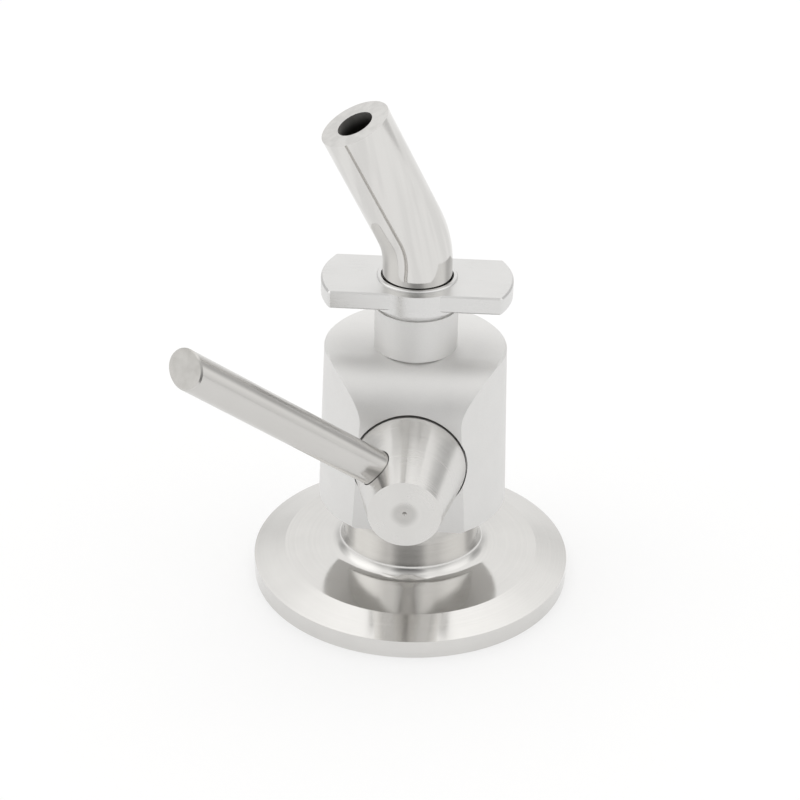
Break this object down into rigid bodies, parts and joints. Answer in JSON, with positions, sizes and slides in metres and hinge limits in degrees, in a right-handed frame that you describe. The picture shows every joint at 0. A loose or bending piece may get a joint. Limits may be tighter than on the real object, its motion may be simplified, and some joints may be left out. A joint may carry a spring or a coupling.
{
  "type": "sanitary sampling valve",
  "caption": "Sanitary sampling valve: clamp ferrule inlet, quarter-turn plug worked by a lever knob, swivelling bent spout held by a wing nut.",
  "frame": {"origin": "centre of the clamp ferrule's gasket face, where the valve stands and where it joins a tank ferrule", "axes": "+Z along the flow axis from the ferrule to the outlet, knob axis towards -Y, lever and spout bend towards -X"},
  "size_m": [0.0577, 0.0598, 0.0797],
  "materials": {
    "ferrule_steel": "turned and fine brushed stainless steel",
    "body_steel": "satin blasted and polished stainless steel",
    "knob_steel": "fine turned stainless steel",
    "rod_steel": "polished stainless steel bar",
    "spout_steel": "polished stainless steel tube",
    "nut_steel": "fine brushed stainless steel",
    "inner_steel": "machined stainless steel",
    "ptfe": "machined white PTFE",
    "elastomer": "moulded black rubber"
  },
  "bodies": {
    "valve": {"valve_body": "body_steel", "tri_clamp_ferrule": "ferrule_steel", "outlet_nipple": "inner_steel", "nipple_gasket": "ptfe", "seal_sleeve": "ptfe", "sleeve_key": "inner_steel", "gland_ring": "inner_steel", "gland_oring": "elastomer", "stop_pin": "inner_steel"},
    "handle": {"valve_plug": "inner_steel", "thrust_washer": "ptfe", "stem_oring_inner": "elastomer", "stem_oring_outer": "elastomer", "knob": "knob_steel", "lever_rod": "rod_steel"},
    "spout": {"spout_tube": "spout_steel", "spout_collar": "inner_steel", "spigot_oring_lower": "elastomer", "spigot_oring_upper": "elastomer"},
    "nut_carrier": {"slip_washer": "ptfe"},
    "nut": {"wing_nut": "nut_steel"}
  },
  "joints": [
    {"name": "handle_turn", "type": "hinge", "parent": "valve", "child": "handle", "pos_m": [0, -0.012, 0.0259], "axis": [0, 1, 0], "range_deg": [-41.4, 48.6]},
    {"name": "spout_swivel", "type": "hinge", "parent": "valve", "child": "spout", "pos_m": [0, 0, 0.0501], "axis": [0, 0, 1], "continuous": true},
    {"name": "nut_rise", "type": "slide", "parent": "valve", "child": "nut_carrier", "axis": [0, 0, 1], "range_m": [0, 0.0015]},
    {"name": "nut_turn", "type": "hinge", "parent": "nut_carrier", "child": "nut", "pos_m": [0, 0, 0.0513], "axis": [0, 0, 1], "range_deg": [0, 504]}
  ],
  "couplings": [
    {"joint": "nut_rise", "follows": "nut_turn", "m_per_rad": 0.00015915}
  ]
}
